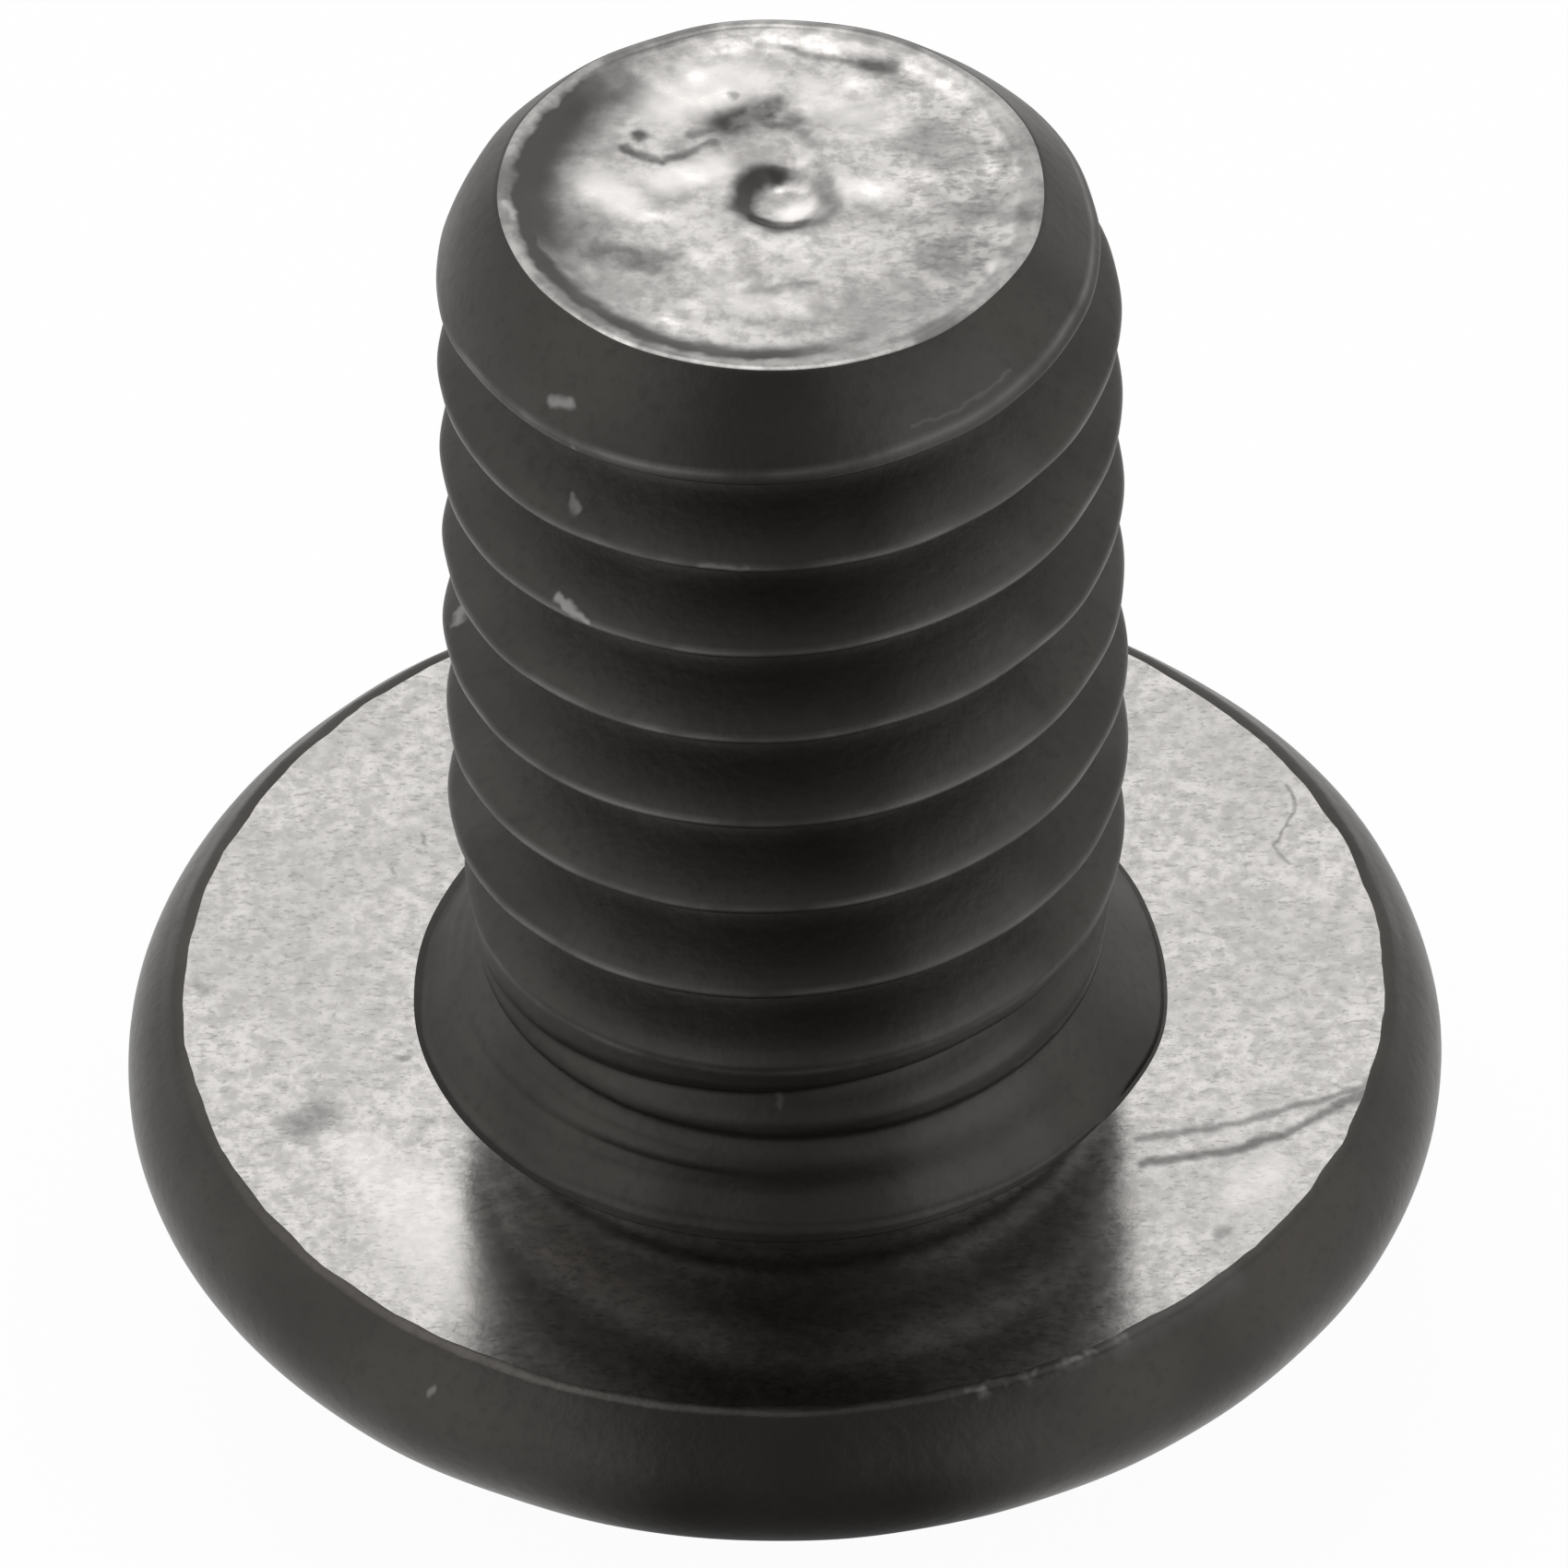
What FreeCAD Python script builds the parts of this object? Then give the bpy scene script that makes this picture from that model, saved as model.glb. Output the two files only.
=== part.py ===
import FreeCAD
import Part
import math
import os

# Button head socket screw of steel, one forged and rolled piece, M3 x 0.5 x 5.
# Millimetres. It stands on its head: +Z runs from the head to the tip of the shank.
# The origin is the centre of the flat land round the socket's mouth, which it stands on.

# Head
HEAD_DIAMETER = 5.70
HEAD_HEIGHT = 1.65
RIM_RADIUS = 0.43
RIM_WIDTH = 0.235
LAND_WIDTH = 0.07

# Hexagon socket
SOCKET_ACROSS_FLATS = 2.03
SOCKET_DEPTH = 1.10
SOCKET_FLOOR_ANGLE = 140.0
MOUTH_CHAMFER_WIDTH = 0.03
MOUTH_CHAMFER_ANGLE = 120.0

# Shank, measured from the bearing face under the head
SHANK_LENGTH = 4.76
THREAD_DIAMETER = 2.94
THREAD_PITCH = 0.50
FLANK_ANGLE = 60.0
FIRST_CREST_DROP = 0.40

# Neck under the head, where the thread runs out
NECK_HEIGHT = 0.36
NECK_FLARE = 0.31
UNDERCUT_DEPTH = 0.05
UNDERCUT_HEIGHT = 0.04
RUN_OUT_DROP = 0.11
RUN_OUT_LENGTH = 0.60

# Tip: the point is the rounded taper between the full thread and the lip of the end face
POINT_WIDTH = 0.295
POINT_LENGTH = 0.52
POINT_BULGE = 0.065
LIP_WIDTH = 0.07
LIP_DROP = 0.02
DISH_DEPTH = 0.05
DIMPLE_RADIUS = 0.24
DIMPLE_DEPTH = 0.10
DIMPLE_OFFSET = 0.09

# Shape of the swept groove
GROOVE_DEPTH_IN_PITCHES = 0.6134
ROOT_WIDTH_IN_PITCHES = 0.16
GROOVE_MARGIN = 0.03
FADE_IN_TURNS = 1.0
FADE_OUT_TURNS = 0.45
TURNS_PAST_FRONT = 0.80
FADE_LIFT = 1.45
POINTS_PER_TURN = 24

# Sizes that follow from the ones above
HEAD_RADIUS = HEAD_DIAMETER / 2
THREAD_RADIUS = THREAD_DIAMETER / 2
THREAD_DEPTH = GROOVE_DEPTH_IN_PITCHES * THREAD_PITCH
ROOT_RADIUS = THREAD_RADIUS - THREAD_DEPTH
TIP_RADIUS = THREAD_RADIUS - POINT_WIDTH
SOCKET_CORNER_RADIUS = SOCKET_ACROSS_FLATS / math.sqrt(3)
MOUTH_RADIUS = SOCKET_CORNER_RADIUS + MOUTH_CHAMFER_WIDTH
LAND_RADIUS = MOUTH_RADIUS + LAND_WIDTH
TIP_Z = HEAD_HEIGHT + SHANK_LENGTH
NECK_TOP_Z = HEAD_HEIGHT + NECK_HEIGHT
RUN_OUT_RADIUS = THREAD_RADIUS - RUN_OUT_DROP
UNDERCUT_RADIUS = RUN_OUT_RADIUS - UNDERCUT_DEPTH
NECK_RADIUS = UNDERCUT_RADIUS + NECK_FLARE
FIRST_GROOVE_Z = TIP_Z - FIRST_CREST_DROP - THREAD_PITCH / 2

AXIS = FreeCAD.Vector(0, 0, 1)


def at(radius, z):
    """A point of the outline, in the plane through the axis and +X."""
    return FreeCAD.Vector(radius, 0, z)


def line(start, end):
    return Part.LineSegment(start, end).toShape()


def arc(start, middle, end):
    return Part.Arc(start, middle, end).toShape()


def bulged(start, end, bulge):
    """An arc between two points of the outline that stands out by bulge at its middle."""
    chord = end - start
    outward = FreeCAD.Vector(-chord.z, 0, chord.x).normalize()
    if outward.x < 0:
        outward = outward * -1
    return arc(start, (start + end) * 0.5 + outward * bulge, end)


def head_edges():
    """Bearing face, rounded rim, domed side and the land round the socket."""
    bearing_radius = HEAD_RADIUS - RIM_WIDTH
    rim_centre_radius = HEAD_RADIUS - RIM_RADIUS
    rim_drop = math.sqrt(RIM_RADIUS ** 2 - (bearing_radius - rim_centre_radius) ** 2)

    # The dome is a sphere on the axis that passes through the land's edge and touches the rim's arc.
    offset = (LAND_RADIUS ** 2 + HEAD_HEIGHT ** 2
              - RIM_RADIUS ** 2 - rim_centre_radius ** 2 - rim_drop ** 2)
    slope = 2 * (HEAD_HEIGHT - rim_drop)
    a = slope ** 2 - 4 * RIM_RADIUS ** 2
    b = 2 * offset * slope - 8 * RIM_RADIUS ** 2 * rim_drop
    c = offset ** 2 - 4 * RIM_RADIUS ** 2 * (rim_centre_radius ** 2 + rim_drop ** 2)
    dome_rise = (-b + math.sqrt(b ** 2 - 4 * a * c)) / (2 * a)
    dome_centre_z = HEAD_HEIGHT + dome_rise
    dome_radius = math.hypot(LAND_RADIUS, dome_centre_z)

    rim_centre = at(rim_centre_radius, HEAD_HEIGHT - rim_drop)
    start_angle = math.atan2(rim_drop, bearing_radius - rim_centre_radius)
    end_angle = math.atan2(rim_centre.z - dome_centre_z, rim_centre_radius)

    def on_rim(angle):
        return rim_centre + at(RIM_RADIUS * math.cos(angle), RIM_RADIUS * math.sin(angle))

    def on_dome(angle):
        return at(dome_radius * math.cos(angle), dome_centre_z + dome_radius * math.sin(angle))

    land_angle = math.atan2(-dome_centre_z, LAND_RADIUS)
    bearing_edge = at(bearing_radius, HEAD_HEIGHT)
    rim_end = on_rim(end_angle)
    land_edge = at(LAND_RADIUS, 0)
    return [
        line(at(NECK_RADIUS, HEAD_HEIGHT), bearing_edge),
        arc(bearing_edge, on_rim((start_angle + end_angle) / 2), rim_end),
        arc(rim_end, on_dome((end_angle + land_angle) / 2), land_edge),
        line(land_edge, at(0, 0)),
    ]


def shank_edges():
    """Dished end with its lip, rounded point, thread's cylinder, run-out and flared neck."""
    lip_inner = at(TIP_RADIUS - LIP_WIDTH, TIP_Z - DISH_DEPTH)
    lip_top = at(TIP_RADIUS - LIP_WIDTH / 2, TIP_Z)
    lip_outer = at(TIP_RADIUS, TIP_Z - LIP_DROP)
    point_end = at(THREAD_RADIUS, lip_outer.z - POINT_LENGTH)
    run_out_end = at(RUN_OUT_RADIUS, NECK_TOP_Z + UNDERCUT_HEIGHT)
    run_out_start = at(THREAD_RADIUS, run_out_end.z + RUN_OUT_LENGTH)
    undercut = at(UNDERCUT_RADIUS, NECK_TOP_Z)
    return [
        line(at(0, 0), at(0, lip_inner.z)),
        line(at(0, lip_inner.z), lip_inner),
        arc(lip_inner, lip_top, lip_outer),
        bulged(lip_outer, point_end, POINT_BULGE),
        line(point_end, run_out_start),
        line(run_out_start, run_out_end),
        line(run_out_end, undercut),
        line(undercut, at(NECK_RADIUS, HEAD_HEIGHT)),
    ]


def make_blank():
    """The screw's body before the socket and the thread: one outline turned about the axis."""
    outline = Part.Wire(Part.__sortEdges__(shank_edges() + head_edges()))
    return Part.Face(outline).revolve(FreeCAD.Vector(0, 0, 0), AXIS, 360)


def groove_point(turn, first_turn, last_turn):
    """Root of the thread's groove. Turn 0 faces the front, -Y, and the thread is right-handed.

    Near both ends the groove rises out of the metal, as a rolled thread runs out.
    """
    lift = 0.0
    if turn < first_turn + FADE_IN_TURNS:
        lift = (1 - (turn - first_turn) / FADE_IN_TURNS) ** 2
    if turn > last_turn - FADE_OUT_TURNS:
        lift = ((turn - last_turn) / FADE_OUT_TURNS + 1) ** 2
    radius = ROOT_RADIUS + lift * FADE_LIFT * THREAD_DEPTH
    angle = 2 * math.pi * turn
    return FreeCAD.Vector(radius * math.sin(angle), -radius * math.cos(angle),
                          FIRST_GROOVE_Z + THREAD_PITCH * turn)


def make_groove():
    """The thread's groove: a V section with a flat root, swept along the helix.

    Each half turn of the path is an edge of its own, so that no face of the groove winds round
    the shank more than once and each cuts the metal along one plain line.
    """
    first_turn = (NECK_TOP_Z - FIRST_GROOVE_Z) / THREAD_PITCH
    last_turn = TURNS_PAST_FRONT
    steps = int(round((last_turn - first_turn) * POINTS_PER_TURN))
    points = []
    for i in range(steps + 1):
        turn = first_turn + (last_turn - first_turn) * i / steps
        points.append(groove_point(turn, first_turn, last_turn))
    helix = Part.BSplineCurve()
    helix.interpolate(points)
    path = []
    half_turn = POINTS_PER_TURN // 2
    for i in range(0, steps, half_turn):
        stretch = helix.copy()
        stretch.segment(helix.parameter(points[i]), helix.parameter(points[min(i + half_turn, steps)]))
        path.append(stretch.toShape())

    reach = THREAD_DEPTH + GROOVE_MARGIN
    root_half = ROOT_WIDTH_IN_PITCHES * THREAD_PITCH / 2
    mouth_half = root_half + reach * math.tan(math.radians(FLANK_ANGLE / 2))
    start = points[0]
    outward = FreeCAD.Vector(start.x, start.y, 0).normalize()
    corners = [
        start - AXIS * root_half,
        start + AXIS * root_half,
        start + outward * reach + AXIS * mouth_half,
        start + outward * reach - AXIS * mouth_half,
    ]
    section = Part.makePolygon(corners + corners[:1])
    sweep = Part.BRepOffsetAPI.MakePipeShell(Part.Wire(path))
    sweep.setBiNormalMode(AXIS)
    sweep.add(section, False, False)
    sweep.build()
    sweep.makeSolid()
    return sweep.shape()


def make_socket():
    """Hexagon recess with a conical floor and a countersunk mouth, two corners along X."""
    corners = []
    for i in range(6):
        angle = math.radians(60 * i)
        corners.append(FreeCAD.Vector(SOCKET_CORNER_RADIUS * math.cos(angle),
                                      SOCKET_CORNER_RADIUS * math.sin(angle), 0))
    hexagon = Part.Face(Part.makePolygon(corners + corners[:1]))
    prism = hexagon.extrude(AXIS * SOCKET_DEPTH)

    floor_radius = SOCKET_ACROSS_FLATS / 2
    floor_rise = floor_radius / math.tan(math.radians(SOCKET_FLOOR_ANGLE / 2))
    floor = Part.makeCone(floor_radius, 0, floor_rise, FreeCAD.Vector(0, 0, SOCKET_DEPTH))

    mouth_depth = MOUTH_RADIUS / math.tan(math.radians(MOUTH_CHAMFER_ANGLE / 2))
    mouth = Part.makeCone(MOUTH_RADIUS, 0, mouth_depth)
    return prism.fuse([floor, mouth])


def make_dimple():
    """The shallow round dimple left in the end face, a little off the axis."""
    face_z = TIP_Z - DISH_DEPTH
    ball_radius = (DIMPLE_RADIUS ** 2 + DIMPLE_DEPTH ** 2) / (2 * DIMPLE_DEPTH)
    centre = FreeCAD.Vector(DIMPLE_OFFSET, 0, face_z - DIMPLE_DEPTH + ball_radius)
    return Part.makeSphere(ball_radius, centre)


def make_screw():
    screw = make_blank().cut(make_groove())
    screw = screw.cut(make_socket())
    screw = screw.cut(make_dimple())
    return screw.Solids[0]


os.makedirs("parts", exist_ok=True)
make_screw().exportStep("parts/screw.step")
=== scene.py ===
import math

import bpy
import numpy as np
from mathutils import Matrix, Vector


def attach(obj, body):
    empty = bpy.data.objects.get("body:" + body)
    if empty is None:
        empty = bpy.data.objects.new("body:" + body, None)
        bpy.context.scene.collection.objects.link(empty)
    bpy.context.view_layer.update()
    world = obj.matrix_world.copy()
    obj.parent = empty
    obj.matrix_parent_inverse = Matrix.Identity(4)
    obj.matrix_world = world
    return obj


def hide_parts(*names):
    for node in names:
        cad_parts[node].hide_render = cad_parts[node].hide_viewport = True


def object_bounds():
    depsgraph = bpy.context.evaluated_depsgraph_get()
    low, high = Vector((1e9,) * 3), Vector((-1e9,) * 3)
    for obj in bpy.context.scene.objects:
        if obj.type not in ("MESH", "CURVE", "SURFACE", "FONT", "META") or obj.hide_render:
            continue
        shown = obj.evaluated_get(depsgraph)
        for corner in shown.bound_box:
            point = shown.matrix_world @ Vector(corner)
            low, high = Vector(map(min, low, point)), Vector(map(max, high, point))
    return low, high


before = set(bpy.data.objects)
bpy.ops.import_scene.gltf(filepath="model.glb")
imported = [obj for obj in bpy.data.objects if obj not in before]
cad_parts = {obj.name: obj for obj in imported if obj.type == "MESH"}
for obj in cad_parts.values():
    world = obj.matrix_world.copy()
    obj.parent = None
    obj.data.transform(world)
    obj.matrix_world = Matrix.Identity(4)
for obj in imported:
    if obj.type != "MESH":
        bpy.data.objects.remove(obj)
cad_low, cad_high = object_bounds()

# Button head socket screw of black-oxide steel, standing on its head: one finished surface.
# Sizes are in millimetres, as in the part's source, and become metres where the mesh is made.
# Left is -X, the front, where the thread's turns count from, is -Y, and up is +Z.
MM = 0.001
TINY = 1e-6

# Head. The finished surface stays a margin inside the solid's box, at its side and at its tip.
BOX_MARGIN = 0.002
TIP_MARGIN = 0.010
HEAD_RADIUS = (cad_high.x - cad_low.x) / 2 / MM - BOX_MARGIN
HEAD_HEIGHT = 1.65
RIM_RADIUS = 0.43
RIM_WIDTH = 0.235
RIM_EDGE_ROUND = 0.13
RIM_EDGE_START = 0.015
RIM_EDGE_ANGLE = 27.0
BEARING_RADIUS = HEAD_RADIUS - RIM_WIDTH
BEARING_FALL = 0.012

# Hexagon socket
SOCKET_ACROSS_FLATS = 2.03
SOCKET_DEPTH = 1.10
SOCKET_FLOOR_ANGLE = 140.0
SOCKET_CORNER_SHARPNESS = 90
MOUTH_CHAMFER_WIDTH = 0.03
MOUTH_CHAMFER_ANGLE = 120.0
LAND_WIDTH = 0.07
FLOOR_RADIUS = SOCKET_ACROSS_FLATS / 2
FLOOR_RISE = FLOOR_RADIUS / math.tan(math.radians(SOCKET_FLOOR_ANGLE / 2))

# Thread
TIP_Z = cad_high.z / MM - TIP_MARGIN
THREAD_RADIUS = 1.47
THREAD_PITCH = 0.50
THREAD_DEPTH = 0.3067
ROOT_FLAT = 0.08
FLANK_ANGLE = 60.0
FLANK_SLOPE = math.tan(math.radians(90 - FLANK_ANGLE / 2))
CREST_ROUND = 0.055
ROOT_ROUND = 0.10
# The groove passes the front at FIRST_GROOVE_Z on turn 0. Over its first and last turns its
# floor rises out of the metal, by FADE_LIFT groove depths at the very ends.
FIRST_GROOVE_Z = 5.76
FIRST_TURN = -7.5
LAST_TURN = 0.80
FADE_IN_TURNS = 1.0
FADE_OUT_TURNS = 0.45
FADE_LIFT = 1.45

# Neck
NECK_HEIGHT = 0.385
NECK_BASE_RADIUS = 1.612
NECK_TOP_RADIUS = 1.30
NECK_EDGE_RADIUS = 1.36
RUN_OUT_HEIGHT = 1.25

# Point and end face
END_RADIUS = 1.175
POINT_LENGTH = 0.52
POINT_BULGE = 0.040
LIP_WIDTH = 0.070
LIP_ROUND = 0.010
LIP_DROP = 0.02
POINT_START_Z = TIP_Z - LIP_DROP
POINT_END_Z = TIP_Z - LIP_DROP - POINT_LENGTH
DISH_DEPTH = 0.05
DIMPLE_PLACE = (0.055, 0.020)
DIMPLE_RADIUS = 0.245
DIMPLE_DEPTH = 0.055
DIMPLE_RING_HEIGHT = 0.003

# Small faults of this one screw: depths, the directions that they face, and heights on the neck.
SHANK_OFFSET = 0.040
NECK_FLAT, NECK_FLAT_ZONE = 0.13, (0.08, 0.34)
NECK_RIPPLE, NECK_RIPPLE_ZONE = 0.012, (0.05, 0.35)
TURNED_LINE_DEPTH = 0.007
TURNED_LINE_PITCH = 0.085
TURNED_LINES_START, TURNED_LINES_END = (0.10, 0.16), (0.30, 0.36)
END_TILT = 0.096
END_SHIFT = -0.018
END_SWELL = 0.018
SWELL_AT = (-0.90, 0.44)
SWELL_SPREAD = (0.72, 0.98)
LIP_LOW_SIDE = 0.30
LIP_HIGH_AT = (-0.80, -0.60)
DENT_DEPTH, FINE_DENT_DEPTH = 0.006, 0.0025
CREST_WAVE = 0.004
EDGE_WAVE = 0.0045
EDGE_WAVE_WIDTH = 0.06
RIM_WAVE = 0.003

# Mesh. Rings go round all columns. The thread's lines, or keys, climb with it: they divide each
# pitch from a crest down, and lie closer where the thread curves.
COLUMNS = 264
KEYS_IN_PITCH = (0, .03, .06, .09, .12, .18, .25, .32, .38, .42, .46, .50,
                 .54, .58, .62, .68, .75, .82, .88, .91, .94, .97)
THREAD_ZONE_TOP = 6.22
THREAD_ZONE_BOTTOM = HEAD_HEIGHT + NECK_HEIGHT + 0.045
KEY_CLEARANCE = 0.006
NECK_SHARES = (0.05, 0.11, 0.17, 0.23, 0.29, 0.35, 0.41, 0.47,
               0.53, 0.59, 0.66, 0.74, 0.83, 0.92, 0.985)
# Bright faces above this height are the end face's, and those below it the bearing face's.
FACES_APART = 4.0
# Half the width of a crest's lighter line, partly wear and partly a painted highlight, in pitches.
CREST_LINE_SHARE = 0.05


def smooth_step(value, low, high):
    """0 below low, 1 above high, and smooth between."""
    share = np.clip((value - low) / (high - low), 0, 1)
    return share * share * (3 - 2 * share)


def smooth_min(a, b, width):
    """The lower of two heights, with the corner between them rounded over a width."""
    share = np.clip(0.5 + 0.5 * (b - a) / width, 0, 1)
    return b * (1 - share) + a * share - width * share * (1 - share)


def smooth_max(a, b, width):
    """The higher of two heights, rounded over a width."""
    return -smooth_min(-a, -b, width)


def unevenness(points, size, seed):
    """A smooth random height for each point, mostly -1 to 1, with bumps of about that size."""
    waves = 28
    random = np.random.default_rng(seed)
    directions = random.normal(size=(waves, 3))
    directions /= np.linalg.norm(directions, axis=1)[:, None]
    lengths = size * random.uniform(0.8, 2.2, waves)
    phases = random.uniform(0, 2 * math.pi, waves)
    angles = points @ (directions * (2 * math.pi / lengths)[:, None]).T + phases
    return np.sin(angles).sum(axis=1) / math.sqrt(waves)


def arc_point(start, end, bulge, share):
    """A point on the arc from start to end, in radius and z, that stands out by bulge."""
    (r0, z0), (r1, z1) = start, end
    chord = math.hypot(r1 - r0, z1 - z0)
    radius = (chord ** 2 / 4 + bulge ** 2) / (2 * bulge)
    half = math.asin(chord / 2 / radius)
    angle = half * (2 * share - 1)
    along = radius * math.sin(angle)
    out = radius * math.cos(angle) - (radius - bulge)
    ux, uz = (r1 - r0) / chord, (z1 - z0) / chord
    mid_r, mid_z = (r0 + r1) / 2, (z0 + z1) / 2
    return mid_r + ux * along - uz * out, mid_z + uz * along + ux * out


def point_arc(share):
    """A point on the bulged side of the tip, from the end face's edge down to the thread."""
    return arc_point((END_RADIUS, POINT_START_Z), (THREAD_RADIUS, POINT_END_Z), POINT_BULGE, share)


def shank_outline(z):
    """The shank's radius before the thread, from the run-out at the neck to the point."""
    shares = np.linspace(0, 1, 60)
    arc = np.array([point_arc(share) for share in shares])
    radius = np.interp(z, arc[::-1, 1], arc[::-1, 0])
    height = z - HEAD_HEIGHT
    run_out = 1 - smooth_step(height, NECK_HEIGHT, RUN_OUT_HEIGHT)
    return radius - run_out * (THREAD_RADIUS - NECK_EDGE_RADIUS)


def groove_radius(turn, z, count):
    """Radius of the groove's surface where its winding number count passes a height."""
    at = turn + count
    lift = np.zeros_like(at)
    rising = at < FIRST_TURN + FADE_IN_TURNS
    lift[rising] = (1 - (at[rising] - FIRST_TURN) / FADE_IN_TURNS) ** 2
    fading = at > LAST_TURN - FADE_OUT_TURNS
    lift[fading] = ((at[fading] - LAST_TURN) / FADE_OUT_TURNS + 1) ** 2
    root = THREAD_RADIUS - THREAD_DEPTH + lift * FADE_LIFT * THREAD_DEPTH
    gone = (at < FIRST_TURN) | (at > LAST_TURN)
    root = np.where(gone, 2 * THREAD_RADIUS, root)
    away = np.abs(z - (FIRST_GROOVE_Z + THREAD_PITCH * at)) - ROOT_FLAT / 2
    return smooth_max(root, root + away * FLANK_SLOPE, ROOT_ROUND)


def shank_radius(turn, z):
    """Radius of the finished thread at a turn from the front and a height."""
    radius = shank_outline(z)
    nearest = np.round((z - FIRST_GROOVE_Z) / THREAD_PITCH - turn)
    for step in (-1, 0, 1):
        radius = smooth_min(radius, groove_radius(turn, z, nearest + step), CREST_ROUND)
    return radius


def hexagon_radius(angle):
    """Distance from the axis to the socket's wall, two corners on X, the corners a little round."""
    total = np.zeros_like(angle)
    for side in range(6):
        facing = np.cos(angle - math.radians(30 + 60 * side))
        total += np.maximum(facing, 0) ** SOCKET_CORNER_SHARPNESS
    return SOCKET_ACROSS_FLATS / 2 / total ** (1 / SOCKET_CORNER_SHARPNESS)


class Rows(list):
    """Closed rings of points, each with a radius, a height and a share of bright bare steel."""

    def add(self, radius, z, bright):
        self.append((radius, z, bright))


def end_face_rows():
    """From the centre of the end face out over its lip and down the point."""
    rows = Rows()
    inner = END_RADIUS - LIP_WIDTH

    # The dish rises by 0.6 of its depth before the lip, which rises by the rest.
    steps = 34
    for i in range(1, steps + 1):
        radius = inner * i / steps
        rise = smooth_step(radius, inner - 0.16, inner)
        rows.add(radius, TIP_Z - DISH_DEPTH + 0.6 * DISH_DEPTH * rise, 1)
    lip_start = (inner, TIP_Z - 0.4 * DISH_DEPTH)
    for share in (0.18, 0.36, 0.54, 0.72, 0.86):
        rows.add(*arc_point(lip_start, (END_RADIUS, POINT_START_Z), LIP_ROUND, share), 1)
    for share in (0, 0.03, 0.07, 0.12, 0.18, 0.25):
        radius, z = point_arc(share)
        if z > THREAD_ZONE_TOP + KEY_CLEARANCE:
            rows.add(radius, z, 0)
    return rows


def add_neck_rows(rows):
    """From the undercut below the thread down the flared neck."""
    neck_top = HEAD_HEIGHT + NECK_HEIGHT
    rows.add(NECK_EDGE_RADIUS - 0.002, neck_top + 0.026, 0)
    rows.add(NECK_EDGE_RADIUS - 0.012, neck_top + 0.012, 0)
    rows.add(NECK_TOP_RADIUS + 0.012, neck_top + 0.004, 0)
    rows.add(NECK_TOP_RADIUS, neck_top - 0.012, 0)
    for share in NECK_SHARES:
        collar = NECK_TOP_RADIUS + (NECK_BASE_RADIUS - NECK_TOP_RADIUS) * share ** 0.92
        rows.add(collar, neck_top - NECK_HEIGHT * share, 0)
    rows.add(NECK_BASE_RADIUS + 0.002, HEAD_HEIGHT + 0.001, 0)
    rows.add(NECK_BASE_RADIUS + 0.008, HEAD_HEIGHT, 0)


def add_bearing_rows(rows):
    """Over the bright bearing face and its rounded dark edge."""
    first, last = NECK_BASE_RADIUS + 0.012, BEARING_RADIUS - RIM_EDGE_START
    steps = 14
    for i in range(steps):
        rows.add(first + (last - first) * i / (steps - 1), HEAD_HEIGHT, 1)
    edge_steps = 6
    for i in range(edge_steps + 1):
        angle = math.radians(RIM_EDGE_ANGLE) * i / edge_steps
        rows.add(last + 0.001 + RIM_EDGE_ROUND * math.sin(angle),
                 HEAD_HEIGHT - RIM_EDGE_ROUND * (1 - math.cos(angle)), 0)


def add_dome_rows(rows, land_radius):
    """Round the rim and under the dome to the land's edge."""
    base = HEAD_HEIGHT
    rim_centre = HEAD_RADIUS - RIM_RADIUS
    rim_drop = math.sqrt(RIM_RADIUS ** 2 - (BEARING_RADIUS - rim_centre) ** 2)

    # The dome is a sphere on the axis, through the land's edge and touching the rim's arc.
    offset = land_radius ** 2 + base ** 2 - RIM_RADIUS ** 2 - rim_centre ** 2 - rim_drop ** 2
    slope = 2 * (base - rim_drop)
    a = slope ** 2 - 4 * RIM_RADIUS ** 2
    b = 2 * offset * slope - 8 * RIM_RADIUS ** 2 * rim_drop
    c = offset ** 2 - 4 * RIM_RADIUS ** 2 * (rim_centre ** 2 + rim_drop ** 2)
    dome_centre = base + (-b + math.sqrt(b ** 2 - 4 * a * c)) / (2 * a)
    dome_radius = math.hypot(land_radius, dome_centre)

    # The rim's arc starts a little past its rounded edge.
    start = math.radians(90 - RIM_EDGE_ANGLE) - 0.22
    end = math.atan2(base - rim_drop - dome_centre, rim_centre)
    rim_steps = 20
    for i in range(rim_steps + 1):
        angle = start + (end - start) * i / rim_steps
        rows.add(rim_centre + RIM_RADIUS * math.cos(angle),
                 base - rim_drop + RIM_RADIUS * math.sin(angle), 0)
    land = math.atan2(-dome_centre, land_radius)
    dome_steps = 16
    for i in range(1, dome_steps):
        angle = end + (land - end) * i / dome_steps
        rows.add(dome_radius * math.cos(angle), dome_centre + dome_radius * math.sin(angle), 0)
    rows.add(land_radius + 0.01, 0.006, 0)
    rows.add(land_radius - 0.004, 0, 0)


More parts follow.
